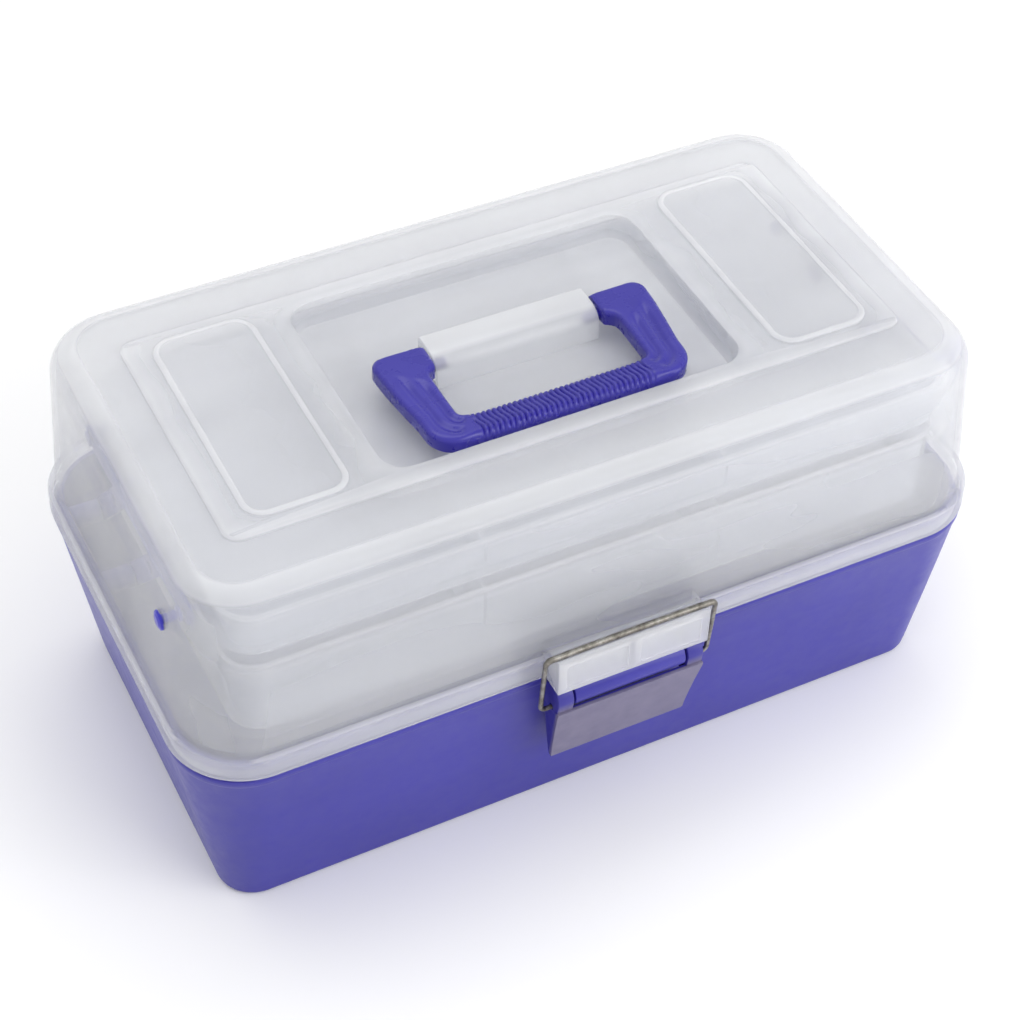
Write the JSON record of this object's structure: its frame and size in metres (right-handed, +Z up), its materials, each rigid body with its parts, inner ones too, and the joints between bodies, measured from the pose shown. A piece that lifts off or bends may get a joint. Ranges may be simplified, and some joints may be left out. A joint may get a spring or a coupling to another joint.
{
  "type": "art supply box",
  "caption": "Hinged box with a domed clear lid, folding carry handle, wire-bail latch and two clear trays on swinging arms that rise as the lid opens.",
  "frame": {"origin": "centre of the underside, on the surface the box stands on", "axes": "+Z up, +X along the length, -Y towards the latch"},
  "size_m": [0.33, 0.204, 0.167],
  "materials": {
    "violet_plastic": "satin moulded polypropylene",
    "clear_plastic": "frosted translucent polypropylene",
    "steel": "dull drawn wire"
  },
  "bodies": {
    "base": {"base_tub": "violet_plastic", "hinge_pin_left": "steel", "hinge_pin_right": "steel", "latch_pin": "steel", "base_pin_front_left": "violet_plastic", "base_pin_front_right": "violet_plastic", "base_pin_rear_left": "violet_plastic", "base_pin_rear_right": "violet_plastic"},
    "lid": {"lid_shell": "clear_plastic", "lid_pin_left": "violet_plastic", "lid_pin_right": "violet_plastic"},
    "front_arms": {"arm_front_left": "violet_plastic", "arm_front_right": "violet_plastic"},
    "rear_arms": {"arm_rear_left": "violet_plastic", "arm_rear_right": "violet_plastic"},
    "lower_tray": {"lower_tray": "clear_plastic", "lower_tray_pin_front_left": "violet_plastic", "lower_tray_pin_front_right": "violet_plastic", "lower_tray_pin_rear_left": "violet_plastic", "lower_tray_pin_rear_right": "violet_plastic"},
    "upper_tray": {"upper_tray": "clear_plastic", "upper_tray_pin_front_left": "violet_plastic", "upper_tray_pin_front_right": "violet_plastic", "upper_tray_pin_rear_left": "violet_plastic", "upper_tray_pin_rear_right": "violet_plastic", "link_pin_left": "violet_plastic", "link_pin_right": "violet_plastic"},
    "lid_links": {"lid_link_left": "violet_plastic", "lid_link_right": "violet_plastic"},
    "latch_lever": {"latch_lever": "violet_plastic"},
    "latch_bail": {"latch_bail": "steel"},
    "carry_handle": {"carry_handle": "violet_plastic"}
  },
  "joints": [
    {"name": "lid_hinge", "type": "hinge", "parent": "base", "child": "lid", "pos_m": [0, 0.0985, 0.0835], "axis": [-1, 0, 0], "range_deg": [0, 100], "deforming": ["latch_bail"]},
    {"name": "front_arm_pivot", "type": "hinge", "parent": "base", "child": "front_arms", "pos_m": [0, 0.02091, 0.08301], "axis": [-1, 0, 0], "range_deg": [0, 75]},
    {"name": "rear_arm_pivot", "type": "hinge", "parent": "base", "child": "rear_arms", "pos_m": [0, 0.05891, 0.08301], "axis": [-1, 0, 0], "range_deg": [0, 75]},
    {"name": "lower_tray_pivot", "type": "hinge", "parent": "front_arms", "child": "lower_tray", "pos_m": [0, -0.00255, 0.10905], "axis": [-1, 0, 0], "range_deg": [-75, 0]},
    {"name": "upper_tray_pivot", "type": "hinge", "parent": "front_arms", "child": "upper_tray", "pos_m": [0, -0.026, 0.1351], "axis": [-1, 0, 0], "range_deg": [-75, 0]},
    {"name": "lid_link_pivot", "type": "hinge", "parent": "upper_tray", "child": "lid_links", "pos_m": [0, 0.0419, 0.1365], "axis": [-1, 0, 0], "range_deg": [0, 121.64]},
    {"name": "latch_lever_pivot", "type": "hinge", "parent": "base", "child": "latch_lever", "pos_m": [0, -0.0955, 0.0765], "axis": [-1, 0, 0], "range_deg": [0, 100]},
    {"name": "latch_bail_pivot", "type": "hinge", "parent": "latch_lever", "child": "latch_bail", "pos_m": [0, -0.0955, 0.071], "axis": [-1, 0, 0], "range_deg": [-108, 0]},
    {"name": "carry_handle_pivot", "type": "hinge", "parent": "lid", "child": "carry_handle", "pos_m": [0, -0.001, 0.162], "axis": [-1, 0, 0], "range_deg": [0, 180]}
  ],
  "couplings": [
    {"joint": "front_arm_pivot", "follows": "lid_hinge", "ratio": 0.75},
    {"joint": "rear_arm_pivot", "follows": "lid_hinge", "ratio": 0.75},
    {"joint": "lower_tray_pivot", "follows": "lid_hinge", "ratio": -0.75},
    {"joint": "upper_tray_pivot", "follows": "lid_hinge", "ratio": -0.75},
    {"joint": "lid_link_pivot", "follows": "lid_hinge", "ratio": 1.2164},
    {"joint": "latch_bail_pivot", "follows": "latch_lever_pivot", "ratio": -1.08}
  ]
}
